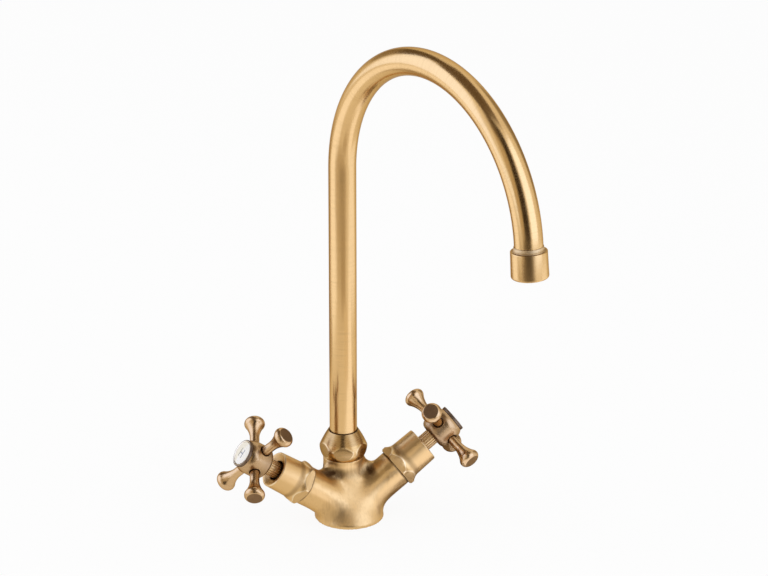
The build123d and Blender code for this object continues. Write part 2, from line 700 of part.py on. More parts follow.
def make_handle_hub(frame, angle):
    """Handle hub: a turned barrel, splined behind, recessed in front and spot-faced for the four arms."""
    with BuildPart() as hub:
        with BuildSketch(half_section(frame)):
            with BuildLine():
                outline = Polyline(
                    (HUB_R, HUB_FRONT - HUB_FRONT_ROUND),
                    (HUB_R, HUB_REAR + HUB_REAR_ROUND),
                )
                rear = TangentArc(outline @ 1, (HUB_REAR_R, HUB_REAR), tangent=(0, -1))
                front = TangentArc(outline @ 0, (HUB_FRONT_R, HUB_FRONT), tangent=(0, 1))
                Polyline(rear @ 1, (0, HUB_REAR), (0, HUB_FRONT), front @ 1)
            make_face()
        revolve(axis=axis_of(frame))
        with BuildSketch(frame.offset(HUB_REAR)):
            spline_outline(RUN_FIT)
        extrude(amount=HUB_BORE_DEPTH, mode=Mode.SUBTRACT)
        with BuildSketch(frame.offset(HUB_BORE_END)):
            Circle(SCREW_R + PASS_GAP)
        extrude(amount=HUB_WEB_T, mode=Mode.SUBTRACT)
        with BuildSketch(frame.offset(HUB_WEB_END)):
            Circle(BEZEL_STEM_R + RUN_FIT)
        extrude(amount=HUB_FRONT - HUB_WEB_END, mode=Mode.SUBTRACT)
        for turn in range(HANDLE_ARMS):
            arm_frame = handle_arm_frame(frame, angle + turn * 360 / HANDLE_ARMS)
            with BuildSketch(arm_frame.offset(SPOT_AT)):
                Circle(SPOT_R)
            extrude(amount=SPOT_DEPTH, mode=Mode.SUBTRACT)
            with BuildSketch(arm_frame.offset(SPOT_AT)):
                Circle(TENON_R + RUN_FIT)
            extrude(amount=-TENON_L, mode=Mode.SUBTRACT)
    return hub.part


def make_handle_arms(frame, angle):
    """Handle arms: four alike, each a tenon, a slim neck and a trumpet with a flat, dark end."""
    with BuildPart() as arms:
        for turn in range(HANDLE_ARMS):
            arm_frame = handle_arm_frame(frame, angle + turn * 360 / HANDLE_ARMS)
            with BuildSketch(half_section(arm_frame)):
                with BuildLine():
                    root = Polyline(
                        (0, SPOT_AT - TENON_L),
                        (TENON_R, SPOT_AT - TENON_L),
                        (TENON_R, SPOT_AT),
                        (HANDLE_NECK_R, SPOT_AT),
                        (HANDLE_NECK_R, HANDLE_FLARE_FROM),
                    )
                    flare = TangentArc(root @ 1, (HANDLE_FLARE_R, HANDLE_FLARE_TO), tangent=(0, 1))
                    rim = TangentArc(flare @ 1, (HANDLE_TIP_R, HANDLE_REACH), tangent=flare % 1)
                    Polyline(rim @ 1, (0, HANDLE_REACH), root @ 0)
                make_face()
            revolve(axis=axis_of(arm_frame))
    return arms.part


def make_bezel(frame):
    """Bezel: a dished brass plate whose stem screws into the hub and hides the handle screw."""
    with BuildPart() as bezel:
        with BuildSketch(frame.offset(HUB_FRONT)):
            Circle(BEZEL_R)
        extrude(amount=BEZEL_T)
        chamfer(bezel.edges().filter_by(GeomType.CIRCLE), BEZEL_EDGE)
        with BuildSketch(frame.offset(BEZEL_FACE)):
            Circle(BEZEL_R - BEZEL_LIP)
        extrude(amount=-BEZEL_RECESS, mode=Mode.SUBTRACT)
        with BuildSketch(frame.offset(HUB_FRONT)):
            Circle(BEZEL_STEM_R)
            Circle(BEZEL_STEM_R - BEZEL_STEM_WALL, mode=Mode.SUBTRACT)
        extrude(amount=-BEZEL_STEM_L)
    return bezel.part


def make_index_disc(frame):
    """Index disc: glazed porcelain, slightly crowned, cemented in the bezel."""
    edge_r = BEZEL_R - BEZEL_LIP - RUN_FIT
    rim = BEZEL_FACE - DISC_INSET
    with BuildPart() as index_disc:
        with BuildSketch(half_section(frame)):
            with BuildLine():
                crown = TangentArc((0, rim + DISC_CROWN), (edge_r, rim), tangent=(1, 0))
                Polyline(crown @ 1, (edge_r, DISC_SEAT), (0, DISC_SEAT), crown @ 0)
            make_face()
        revolve(axis=axis_of(frame))
    return index_disc.part


def make_handle_screw(frame):
    """Handle screw: holds the hub on the spindle, under the bezel."""
    with BuildPart() as handle_screw:
        with BuildSketch(frame.offset(HUB_WEB_END)):
            Circle(SCREW_HEAD_R)
        extrude(amount=SCREW_HEAD_H)
        with BuildSketch(frame.offset(HUB_WEB_END)):
            Circle(SCREW_R)
        extrude(amount=-SCREW_L)
    return handle_screw.part


# The two valves are alike; only the side and the resting angle of the handle differ.
for side, frame in valve_frames.items():
    write(make_cartridge(frame), f"{side}_cartridge")
    write(make_seat_seal(frame), f"{side}_seat_seal")
    write(make_fixed_disc(frame), f"{side}_fixed_disc")
    write(make_moving_disc(frame), f"{side}_moving_disc")
    write(make_thrust_washer(frame), f"{side}_thrust_washer")
    write(make_spindle(frame), f"{side}_spindle")
    write(make_spindle_o_rings(frame), f"{side}_spindle_o_rings")
    write(make_spindle_clip(frame), f"{side}_spindle_clip")
    write(make_spline_sleeve(frame), f"{side}_spline_sleeve")
    write(make_shroud(frame, skirt_turns[side]), f"{side}_shroud")
    write(make_handle_hub(frame, arm_angles[side]), f"{side}_handle_hub")
    write(make_handle_arms(frame, arm_angles[side]), f"{side}_handle_arms")
    write(make_bezel(frame), f"{side}_bezel")
    write(make_index_disc(frame), f"{side}_index_disc")
    write(make_handle_screw(frame), f"{side}_handle_screw")
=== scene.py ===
# A kitchen mixer tap in aged brass: a cast body, two valves with cross handles and an arched spout.
from math import atan2, cos, pi, radians, sin

import bmesh
import bpy
from mathutils import Matrix, Vector


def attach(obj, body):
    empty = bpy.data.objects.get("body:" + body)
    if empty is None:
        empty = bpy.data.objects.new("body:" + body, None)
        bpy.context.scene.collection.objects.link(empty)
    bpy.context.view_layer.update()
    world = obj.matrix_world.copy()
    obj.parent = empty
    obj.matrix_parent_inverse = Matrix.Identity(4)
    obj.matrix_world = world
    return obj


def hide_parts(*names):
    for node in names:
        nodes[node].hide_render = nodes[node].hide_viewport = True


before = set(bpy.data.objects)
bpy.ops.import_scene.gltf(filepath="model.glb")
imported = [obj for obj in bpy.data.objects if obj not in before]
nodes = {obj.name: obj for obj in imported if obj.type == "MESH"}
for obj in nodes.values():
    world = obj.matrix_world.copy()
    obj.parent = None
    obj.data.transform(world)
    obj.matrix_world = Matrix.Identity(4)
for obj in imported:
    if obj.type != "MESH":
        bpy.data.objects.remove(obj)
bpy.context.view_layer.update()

mm = 0.001


# Body: one brass casting, a round foot that leans back into the spout collar, with a valve arm on each side.
# It is fettled, brushed by hand from top to bottom and dipped to age it, so patina stays in the creases.
# The creases also carry painted shade, and the front of the foot carries a painted reflection.
class Shade:
    """A socket of a material's nodes. An expression on shades adds the Math nodes that it needs."""

    def __init__(self, tree, socket=None):
        self.tree = tree
        self.socket = socket

    def node(self, kind, settings={}, inputs={}, output=0):
        """Adds a node of this type: its settings first, then the values or shades of its sockets."""
        made = self.tree.nodes.new("ShaderNode" + kind)
        for name, setting in settings.items():
            setattr(made, name, setting)
        for name, value in inputs.items():
            if isinstance(value, Shade):
                self.tree.links.new(value.socket, made.inputs[name])
            else:
                made.inputs[name].default_value = value
        return Shade(self.tree, made.outputs[output] if made.outputs else None)

    def math(self, operation, first, second=0.0):
        """Adds a Math node on one or two values or shades."""
        return self.node("Math", {"operation": operation}, {0: first, 1: second})

    def __add__(self, other):
        return self.math("ADD", self, other)

    def __radd__(self, other):
        return self.math("ADD", other, self)

    def __sub__(self, other):
        return self.math("SUBTRACT", self, other)

    def __rsub__(self, other):
        return self.math("SUBTRACT", other, self)

    def __mul__(self, other):
        return self.math("MULTIPLY", self, other)

    def __truediv__(self, other):
        return self.math("DIVIDE", self, other)

    def __pow__(self, power):
        return self.math("POWER", self, power)

    def __abs__(self):
        return self.math("ABSOLUTE", self)

    def blend(self, low, high):
        """A colour from low, where this shade is 0, to high, where it is 1."""
        return self.node("Mix", {"data_type": "RGBA"}, {0: self, 6: low, 7: high}, output=2)

    def stretched(self, scale):
        """This vector with each of its parts multiplied by the scale's."""
        return self.node("VectorMath", {"operation": "MULTIPLY"}, {0: self, 1: scale})

    def noise(self, scale, detail):
        """Smooth random values round 0.5 over this vector, with scale waves in each of its units."""
        return self.node("TexNoise", inputs={"Vector": self, "Scale": scale, "Detail": detail})

    def steps(self, low, high):
        """0 below low, 1 above high and smooth between."""
        span = {"Value": self, "From Min": low, "From Max": high}
        return self.node("MapRange", {"interpolation_type": "SMOOTHSTEP"}, span)

    def band(self, start, full, fade, end):
        """1 from full to fade, 0 before start and after end, and smooth between."""
        return self.steps(start, full) * (1 - self.steps(fade, end))


def new_finish(name):
    """An empty material and the shade that adds its nodes."""
    material = bpy.data.materials.new(name)
    material.use_nodes = True
    material.node_tree.nodes.clear()
    return material, Shade(material.node_tree)


def lay(shade, sockets):
    """Ends a material in one surface shader with these values or shades."""
    surface = shade.node("BsdfPrincipled", inputs=sockets)
    shade.node("OutputMaterial", inputs={"Surface": surface})


def own_point(shade, place):
    """Object coordinates seen from a piece's own frame, in metres."""
    turn = place.inverted()
    seat = {"Location": turn.translation, "Rotation": turn.to_euler()}
    return shade.node("Mapping", inputs={"Vector": shade.node("TexCoord", output="Object"), **seat})


def brass_marks(shade, place, grain):
    """A point in a piece's own frame, its brush lines, with their number in a metre, and its clouds."""
    point = own_point(shade, place)
    brushing = point.stretched(grain).noise(scale=1, detail=3)
    clouds = point.noise(scale=110, detail=2)
    return point, brushing, clouds


def part_of(point, axis):
    """A point's place along one axis, in mm."""
    return point.node("SeparateXYZ", inputs={"Vector": point}, output=axis) / mm


bright_brass = (0.7, 0.442, 0.184, 1)
# The dark end of the brass finish is patina, and it is also the colour of painted shade and painted
# reflection.
aged_brass = (0.078, 0.034, 0.011, 1)
rubbed_and_highlit_brass = (0.8, 0.6, 0.34, 1)
grazing_tint = (0.55, 0.45, 0.35, 1)


def finish_brass(
    shade, brushing, clouds, bright=bright_brass, aged_and_shaded=aged_brass, tarnish=0.0, polish=0.27, cut=0.1,
    crease_reach=7, painted_shade_and_dip=0.0, wear_and_highlight=0.0, drawn=0.0, alone=False
):
    """The colour, gloss and relief of old brass, which is brushed and cloudy.

    Creases within crease_reach, in mm, are darkened, partly as patina and partly as painted shade, and alone
    leaves out those that it makes with other pieces. Tarnish makes all of it browner, and the darkening
    mask, mostly painted shade and painted reflection, a part of it. Edges wear bright, and the brightening
    mask, partly wear and partly painted highlight, brightens more. Cut is the depth of the brush lines, and
    drawn is how far they stretch a highlight.
    """
    edge_reach = 0.9 * mm
    edge_round = 0.45 * mm
    relief = 0.04 * mm
    crease_span = (0.1, 0.55)
    crease_patina_and_shade = 1.1
    cloud_brown = 0.16
    line_brown = 0.26
    edge_span = (0.2, 0.6)
    edge_shine = 0.6
    line_dullness = 0.16
    brown_dullness = 0.2
    crowding = {"samples": 8, "only_local": alone}
    # Patina together with painted shade: darker where other faces crowd in, found by ambient occlusion.
    shelter = 1 - shade.node("AmbientOcclusion", crowding, {"Distance": crease_reach * mm}, output="AO")
    thinness = {"samples": 4, "inside": True}
    edge = 1 - shade.node("AmbientOcclusion", thinness, {"Distance": edge_reach}, output="AO")
    lines = brushing - 0.5
    patches = clouds - 0.5
    age_and_shade = shelter.steps(*crease_span) * crease_patina_and_shade + patches * cloud_brown + lines * line_brown + tarnish
    # Rubbed edges are wear. The brightening mask adds painted highlights along with wear.
    rubbed_and_highlit = (edge.steps(*edge_span) * edge_shine + wear_and_highlight) * (1 - painted_shade_and_dip)
    softened = shade.node("Bevel", {"samples": 4}, {"Radius": edge_round})
    scratches = {"Height": brushing, "Strength": cut, "Distance": relief, "Normal": softened}
    # The darkening mask that each piece passes in is mostly painted shade and painted reflection.
    lay(shade, {
        "Base Color": rubbed_and_highlit.blend((age_and_shade + painted_shade_and_dip).blend(bright, aged_and_shaded), rubbed_and_highlit_brass),
        "Metallic": 1.0,
        "Roughness": polish + lines * line_dullness + shelter * brown_dullness + painted_shade_and_dip * brown_dullness,
        "Specular Tint": grazing_tint,
        "Anisotropic": drawn,
        "Normal": shade.node("Bump", inputs=scratches),
    })


def joined_skin(node):
    """A copy of a solid's triangles, joined into one skin."""
    bm = bmesh.new()
    bm.from_mesh(nodes[node].data)
    seam = 0.0005 * mm
    bmesh.ops.remove_doubles(bm, verts=bm.verts, dist=seam)
    return bm


def evened(bm, facet):
    """A skin made again in even facets of this size."""
    mesh = bpy.data.meshes.new("raw_casting")
    bm.to_mesh(mesh)
    bm.free()
    raw = bpy.data.objects.new("raw_casting", mesh)
    bpy.context.scene.collection.objects.link(raw)
    even = raw.modifiers.new("even", "REMESH")
    even.mode = "VOXEL"
    even.voxel_size = facet
    bm = bmesh.new()
    bm.from_object(raw, bpy.context.evaluated_depsgraph_get())
    bpy.data.objects.remove(raw)
    return bm


def rub_smooth(bm, verts, strokes):
    """Rubs a part of a skin smooth, half way to its neighbours with each stroke."""
    all_ways = {"use_axis_x": True, "use_axis_y": True, "use_axis_z": True}
    for stroke in range(strokes):
        bmesh.ops.smooth_vert(bm, verts=verts, factor=0.5, **all_ways)


def piece(name, bm, material, body, slot, *stands_for):
    """Makes a finished mesh an object of its body, smooth but for its sharp edges."""
    sharp = radians(32)
    for face in bm.faces:
        face.smooth = True
        face.material_index = 0
    for edge in bm.edges:
        edge.smooth = edge.calc_face_angle(pi) < sharp
    mesh = bpy.data.meshes.new(name)
    bm.to_mesh(mesh)
    bm.free()
    if "custom_normal" in mesh.attributes:
        mesh.attributes.remove(mesh.attributes["custom_normal"])
    mesh.materials.clear()
    mesh.materials.append(material)
    made = bpy.data.objects.new(name, mesh)
    bpy.context.scene.collection.objects.link(made)
    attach(made, body)
    if stands_for:
        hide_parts(*stands_for)
    return made


casting_facet = 0.75 * mm
body_skin = evened(joined_skin("body"), casting_facet)
saddle_low = 3 * mm
saddle_high = 35 * mm
trunk_front = -3 * mm
trunk_back = 13 * mm
saddle_rubbings = ((32, 0.15, 30), (29, 0.25, 50), (26, 0.35, 70))
for half_width, facing, strokes in saddle_rubbings:
    body_skin.normal_update()
    saddles = [
        vert for vert in body_skin.verts
        if abs(vert.co.x) < half_width * mm
        and saddle_low < vert.co.z < saddle_high
        and abs(vert.normal.y) > facing
        and (vert.co.y < trunk_front or vert.co.y > trunk_back)
    ]
    rub_smooth(body_skin, saddles, strokes)
crotch_near = 8 * mm
crotch_far = 24 * mm
crotch_low = 27 * mm
crotch_high = 41 * mm
crotch_middle = 5 * mm
crotch_reach = 17 * mm
crotch_strokes = 14
crotches = [
    vert for vert in body_skin.verts
    if crotch_near < abs(vert.co.x) < crotch_far
    and crotch_low < vert.co.z < crotch_high
    and abs(vert.co.y - crotch_middle) < crotch_reach
]
rub_smooth(body_skin, crotches, crotch_strokes)

upright = Matrix.Identity(4)
valve_foot = Vector((0, 0, 5.9 * mm))
valve_tilt = radians(35.2)
forward = Vector((0, -1, 0))
valve_frames = {}
for side, hand in (("hot", -1), ("cold", 1)):
    outward = Vector((hand * cos(valve_tilt), 0, sin(valve_tilt)))
    turned_axes = Matrix((forward, outward.cross(forward), outward)).transposed()
    valve_frames[side] = Matrix.Translation(valve_foot) @ turned_axes.to_4x4()

casting_grain = (900, 900, 18)
# The casting's dark colour is its patina, and also the colour of its painted shade.
casting_patina_and_shade = (0.06, 0.026, 0.008, 1)
body_brass, shade = new_finish("body_brass")
point, brushing, clouds = brass_marks(shade, upright, casting_grain)
across, along, height = (part_of(point, axis) for axis in "XYZ")
collar_middle = 5
on_shoulder = (across, abs(along - collar_middle), height)
on_foot = (across, along, height)
# Painted shade in the creases between the collar and the arms, and a painted reflection on the foot's front.
painted_shade_patches = [
    (on_shoulder, (-16.4, 4.6, 36.2), (6.0, 5.0, 3.2), 0.55),
    (on_shoulder, (-11.5, 6.5, 35.2), (9.0, 5.5, 4.6), 0.42),
    (on_shoulder, (16.4, 6.6, 35.0), (3.6, 7.5, 5.0), 0.45),
    (on_shoulder, (14.2, 9.5, 32.6), (7.0, 8.0, 5.5), 0.35),
    # These two patches are a painted reflection of the dark side by the camera, on the foot.
    (on_foot, (-18.0, -16.0, 11.0), (13.0, 12.0, 11.0), 0.22),
    (on_foot, (-16.0, -18.5, 9.5), (7.5, 7.0, 7.0), 0.16),
]
shade_patch_fade = (0.1, 1.3)
shade_patch_raggedness = 1.2
# Painted shade on the collar under the spout nut.
under_nut_span = (29, 34, 36, 41)
under_nut_sides = (11, 18)
under_nut_painted_shade = 0.3
arm_joint_span = (43.3, 44.4)
arm_joint_shadow_and_line = 0.6
painted_body_shade = height.band(*under_nut_span) * (1 - abs(across).steps(*under_nut_sides)) * under_nut_painted_shade
for place, middle, spread, depth in painted_shade_patches:
    reach = (clouds - 0.5) * shade_patch_raggedness
    for line, centre, radius in zip(place, middle, spread):
        reach = ((line - centre) / radius) ** 2 + reach
    painted_body_shade = (1 - reach.steps(*shade_patch_fade)) * depth + painted_body_shade
# A painted shadow of each shroud's skirt on its arm, with a dark joint line.
for valve in valve_frames.values():
    painted_body_shade = part_of(own_point(shade, valve), "Z").steps(*arm_joint_span) * arm_joint_shadow_and_line + painted_body_shade
casting_contrast = 1.5
strong_lines = (brushing - 0.5) * casting_contrast + 0.5
finish_brass(
    shade, strong_lines, clouds, aged_and_shaded=casting_patina_and_shade, polish=0.33, cut=0.22, crease_reach=16, painted_shade_and_dip=painted_body_shade,
    drawn=0.6, alone=True
)
piece("body_casting", body_skin, body_brass, "base", "aged_brass", "body")


# Base seal: a moulded rubber ring that lies in the groove under the foot and seals it on the deck.
# It is black, dull and slightly dusty, and only its lower face stands out of the groove.
def dressed(material, *names):
    """Gives solids whose shape is already right their finish."""
    for name in names:
        nodes[name].data.materials.clear()
        nodes[name].data.materials.append(material)


black_rubber = (0.012, 0.012, 0.013, 1)
dusty_rubber = (0.035, 0.034, 0.032, 1)
rubber, shade = new_finish("moulded_rubber")
dust = own_point(shade, upright).noise(scale=900, detail=4)
lay(shade, {
    "Base Color": dust.blend(black_rubber, dusty_rubber),
    "Roughness": 0.55 + dust * 0.25,
    "Normal": shade.node("Bump", inputs={"Height": dust, "Strength": 0.2, "Distance": 0.05 * mm}),
})
dressed(rubber, "base_seal")


# Valves: each arm holds a turned brass cartridge with two ceramic discs, a rubber seat and a nylon washer.
# A brass spindle, kept in by a spring steel clip, turns the upper disc a quarter turn on the lower one.
def brushed_brass(name, place, grain, **look):
    """Aged brass, brushed along the axis on which grain, the lines in a metre, is low."""
    material, shade = new_finish(name)
    brushing, clouds = brass_marks(shade, place, grain)[1:]
    finish_brass(shade, brushing, clouds, **look)
    return material


lathe_grain = (50, 50, 1900)
grey_ceramic = (0.74, 0.72, 0.68, 1)
white_ceramic = (0.86, 0.85, 0.82, 1)
ceramic, shade = new_finish("lapped_ceramic")
speck = own_point(shade, upright).noise(scale=1500, detail=3)
lay(shade, {
    "Base Color": speck.blend(grey_ceramic, white_ceramic),
    "Roughness": 0.16 + speck * 0.12,
})
grey_nylon = (0.55, 0.54, 0.5, 1)
pale_nylon = (0.68, 0.67, 0.63, 1)
nylon, shade = new_finish("moulded_nylon")
flow = own_point(shade, upright).noise(scale=500, detail=3)
lay(shade, {
    "Base Color": flow.blend(grey_nylon, pale_nylon),
    "Roughness": 0.4 + flow * 0.2,
})
dark_steel = (0.42, 0.42, 0.43, 1)
light_steel = (0.62, 0.62, 0.62, 1)
sleeve_look = {"tarnish": -0.3, "polish": 0.4, "crease_reach": 0.3}
for side, valve in valve_frames.items():
    plain = brushed_brass(side + "_plain_brass", valve, lathe_grain, tarnish=0.12, polish=0.3)
    sleeve_brass = brushed_brass(side + "_sleeve_brass", valve, lathe_grain, **sleeve_look)
    steel, shade = new_finish(side + "_spring_steel")
    turning = own_point(shade, valve).stretched(lathe_grain).noise(scale=1, detail=3)
    lay(shade, {
        "Base Color": turning.blend(dark_steel, light_steel),
        "Metallic": 1.0,
        "Roughness": 0.25 + turning * 0.2,
    })
    dressed(plain, side + "_cartridge", side + "_spindle")
    dressed(sleeve_brass, side + "_spline_sleeve")
    dressed(rubber, side + "_seat_seal", side + "_spindle_o_rings")
    dressed(ceramic, side + "_fixed_disc", side + "_moving_disc")
    dressed(nylon, side + "_thrust_washer")
    dressed(steel, side + "_spindle_clip", side + "_handle_screw")


# Shrouds: turned brass caps that screw down over the cartridges and hide the joint with the arm.
# Six flats are milled on the skirt for the spanner, which leaves scallops where they run into the flare.
def off_axis(point):
    """A point's distance from its own z axis, in mm."""
    level = point.stretched((1, 1, 0))
    return point.node("VectorMath", {"operation": "LENGTH"}, {0: level}, output="Value") / mm


def across_flats(point, first_flat):
    """A point's distance from its own z axis, square to the nearest of six flats, in mm."""
    flat_turn = radians(60)
    half_turn = flat_turn / 2
    turn = point.math("ARCTAN2", part_of(point, "Y"), part_of(point, "X"))
    from_edge = turn - (radians(first_flat) - half_turn)
    from_flat = point.math("FLOORED_MODULO", from_edge, flat_turn) - half_turn
    return off_axis(point) * point.math("COSINE", from_flat)


skirt_turns = {"hot": 30, "cold": 22}
skirt_top = (52, 53.5)
skirt_flat = (14.35, 14.45)
skirt_flat_painted_reflection = 0.2
skirt_brim = (13.6, 14.2)
neck_span = (51.5, 54.2, 55, 58.5)
neck_painted_shade = 0.45
dish_floor = (68.6, 69.2)
dish_wall = (12.0, 12.4)
dish_painted_shade = 0.15
mouth_top = (70.6, 70.9)
mouth_rim = (12.6, 12.9)
rim_wear_and_highlight = 0.9
for side, valve in valve_frames.items():
    shroud_brass, shade = new_finish(side + "_shroud_brass")
    point, turning, clouds = brass_marks(shade, valve, lathe_grain)
    height = part_of(point, "Z")
    from_axis = off_axis(point)
    off_flat = across_flats(point, skirt_turns[side])
    # Painted shade in the neck between barrel and skirt, and in the dish round the sleeve.
    neck = height.band(*neck_span)
    dish = height.steps(*dish_floor) * (1 - from_axis.steps(*dish_wall))
    skirt = 1 - height.steps(*skirt_top)
    # The flats are darkened as a painted reflection.
    flat = off_flat.steps(*skirt_flat) * skirt
    # Painted highlights, together with wear, on the flats' brims and on the mouth's rim.
    brim = off_flat.steps(*skirt_brim) * skirt * (1 - flat)
    mouth = height.steps(*mouth_top) * from_axis.steps(*mouth_rim)
    finish_brass(
        shade, turning, clouds, tarnish=-0.06, polish=0.34, crease_reach=3,
        painted_shade_and_dip=neck * neck_painted_shade + dish * dish_painted_shade + flat * skirt_flat_painted_reflection,
        wear_and_highlight=brim * rim_wear_and_highlight + mouth * rim_wear_and_highlight
    )
    solid = side + "_shroud"
    piece(side + "_turned_shroud", joined_skin(solid), shroud_brass, "base", "aged_brass", solid)


# Handles: a cast hub, drilled for four turned arms that are screwed in and soldered, on a splined sleeve.
# Hub and arms are barrelled before the dip, so they come out redder and darker than the rest.
red_brass = (0.61, 0.39, 0.19, 1)
# The dark red colour is patina, and also the colour of painted shade.
red_patina_and_shade = (0.09, 0.042, 0.022, 1)
hub_rear = (80, 92)
hub_rear_brown = 0.3
arm_ring = 89.4
arm_turns = {"hot": 56.7, "cold": -56.0}
arm_facets = 64
arm_end_face = (35.75, 35.9)
arm_end_brown = 0.7
arm_outline = [
    (0, 8.2, 0),
    (2.7, 8.2, 0),
    (2.7, 11.2, 0),
    (3.5, 11.2, 0),
    (3.5, 25.617, 5.61),
    (9.409, 33.948, 4.58),
    (5.3, 36.0, 0.3),
    (0, 36.0, 0),
]


def turned(outline, place, steps=96, ring=False):
    """Turns an outline of (radius, height, rounding) points, in mm, on its own z axis, as a lathe does."""
    seam = 0.001
    bm = bmesh.new()
    points = [bm.verts.new((radius, 0, height)) for radius, height, rounding in outline]
    for start, end in zip(points, points[1:]):
        bm.edges.new((start, end))
    if ring:
        bm.edges.new((points[-1], points[0]))
    for point, (radius, height, rounding) in zip(points, outline):
        if rounding:
            bmesh.ops.bevel(
                bm, geom=[point], offset=rounding, segments=10, profile=0.5, affect="VERTICES", material=-1
            )
    bmesh.ops.spin(
        bm, geom=bm.verts[:] + bm.edges[:], axis=(0, 0, 1), angle=2 * pi, steps=steps, use_merge=True
    )
    bmesh.ops.remove_doubles(bm, verts=bm.verts, dist=seam)
    bmesh.ops.transform(bm, matrix=place @ Matrix.Scale(mm, 4), verts=bm.verts)
    bmesh.ops.recalc_face_normals(bm, faces=bm.faces)
    return bm


lay_over = Matrix.Rotation(radians(90), 4, "Y")
for side, valve in valve_frames.items():
    body = side + "_handle"
    hub_brass, shade = new_finish(side + "_hub_brass")
    point, turning, clouds = brass_marks(shade, valve, lathe_grain)
    rear = 1 - part_of(point, "Z").steps(*hub_rear)
    finish_brass(
        shade, turning, clouds, red_brass, red_patina_and_shade, tarnish=0.2, polish=0.28, crease_reach=9,
        painted_shade_and_dip=rear * hub_rear_brown
    )
    solid = side + "_handle_hub"
    piece(side + "_cross_hub", joined_skin(solid), hub_brass, body, "aged_brass", solid)
    arms = []
    for quarter in range(4):
        turn = Matrix.Rotation(radians(arm_turns[side] + 90 * quarter), 4, "Z")
        arm_frame = valve @ Matrix.Translation((0, 0, arm_ring * mm)) @ turn @ lay_over
        arm_brass, shade = new_finish(f"{side}_arm_brass_{quarter}")
        point, turning, clouds = brass_marks(shade, arm_frame, lathe_grain)
        dark_end = part_of(point, "Z").steps(*arm_end_face)
        finish_brass(
            shade, turning, clouds, red_brass, red_patina_and_shade, tarnish=0.04, polish=0.23, cut=0.03,
            painted_shade_and_dip=dark_end * arm_end_brown
        )
        arm = turned(arm_outline, arm_frame, arm_facets)
        arms.append(piece(f"{side}_cross_arm_{quarter}", arm, arm_brass, body, "aged_brass"))
    for arm in arms:
        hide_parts(side + "_handle_arms")


# Indexes: a turned brass bezel is screwed into each hub and holds a domed porcelain disc.
# The bezel's rim is left dark from the dip, and its lip is wiped bright.
# The disc is glazed, with the letter for hot or cold under the glaze.
bezel_outline = [
    (0, 98.9, 0),
    (5.4, 98.9, 0),
    (5.4, 95.9, 0),
    (7.0, 95.9, 0),
    (7.0, 98.9, 0),
    (10.3, 98.9, 0.35),
    (10.3, 101.2, 0.5),
    (9.5, 101.2, 0.1),
    (8.6, 100.75, 0.1),
    (8.6, 99.9, 0),
    (0, 99.9, 0),
]
disc_outline = [
    (0, 99.9, 0),
    (8.55, 99.9, 0),
    (8.55, 100.85, 0),
    (4.28, 101.55, 4.27),
    (0, 101.55, 0),
]
bezel_flank = (9.5, 9.7)
flank_brown = 0.85
lip_brass = (0.72, 0.6, 0.42, 1)
white_porcelain = (0.89, 0.83, 0.71, 1)
letter_grey = (0.16, 0.153, 0.142, 1)
stem_span = (1.5, 1.7, 2.5, 2.7)
stem_end = (3.3, 3.5)
bar_end = (2.1, 2.3)
bar_edge = (0.4, 0.6)
bow_span = (2.2, 2.4, 3.2, 3.4)
bow_end = (-1.4, -1.2)
letter_depth = 0.8
cloud_depth = 0.08
for side, valve in valve_frames.items():
    body = side + "_handle"
    bezel_brass, shade = new_finish(side + "_bezel_brass")
    point, turning, clouds = brass_marks(shade, valve, lathe_grain)
    flank = off_axis(point).steps(*bezel_flank)
    finish_brass(
        shade, turning, clouds, lip_brass, red_patina_and_shade, polish=0.28, crease_reach=2, painted_shade_and_dip=flank * flank_brown
    )
    bezel = turned(bezel_outline, valve)
    piece(side + "_turned_bezel", bezel, bezel_brass, body, "bezel_brass", side + "_bezel")
    glaze, shade = new_finish(side + "_porcelain")
    point = own_point(shade, valve)
    if side == "hot":
        beside = abs(part_of(point, "X"))
        off_bar = abs(part_of(point, "Y"))
        stems = beside.band(*stem_span) * (1 - off_bar.steps(*stem_end))
        bar = (1 - beside.steps(*bar_end)) * (1 - off_bar.steps(*bar_edge))
        letter = shade.math("MAXIMUM", stems, bar)
    else:
        letter = off_axis(point).band(*bow_span) * part_of(point, "X").steps(*bow_end)
    cloud = point.noise(scale=400, detail=3)
    greyness = letter * letter_depth + cloud * cloud_depth
    lay(shade, {
        "Base Color": greyness.blend(white_porcelain, letter_grey),
        "Roughness": 0.1 + cloud * 0.06,
        "Coat Weight": 0.3,
        "Coat Roughness": 0.03,
    })
    disc = turned(disc_outline, valve)
    piece(side + "_porcelain_disc", disc, glaze, body, "porcelain", side + "_index_disc")


# Spout nut: a turned and milled brass nut with six flats on its belly, screwed on the collar's spigot.
# It holds the spout down and lets it swivel between the two bearing washers under it.
column = Matrix.Translation((0, 11 * mm, 0))
nut_turn = 8
nut_flat = (15.85, 15.95)
nut_flat_painted_reflection = 0.3
nut_brim = (15.2, 15.7)
nut_brim_wear_and_highlight = 0.45
belly_top = (56, 57)
above_belly_brown = 0.2
nut_bright = (0.62, 0.38, 0.145, 1)
nut_brass, shade = new_finish("nut_brass")
point, turning, clouds = brass_marks(shade, column, lathe_grain)
off_flat = across_flats(point, nut_turn)
belly = 1 - part_of(point, "Z").steps(*belly_top)
# The flats are darkened as a painted reflection, and their brims are brightened as painted highlight with
# wear.
flat = off_flat.steps(*nut_flat) * belly
brim = off_flat.steps(*nut_brim) * belly * (1 - flat)
finish_brass(
    shade, turning, clouds, nut_bright, red_patina_and_shade, tarnish=0.1, polish=0.22,
    painted_shade_and_dip=flat * nut_flat_painted_reflection + (1 - belly) * above_belly_brown, wear_and_highlight=brim * nut_brim_wear_and_highlight
)
piece("milled_spout_nut", joined_skin("spout_nut"), nut_brass, "base", "aged_brass", "spout_nut")
dressed(nylon, "lower_bearing", "upper_bearing")


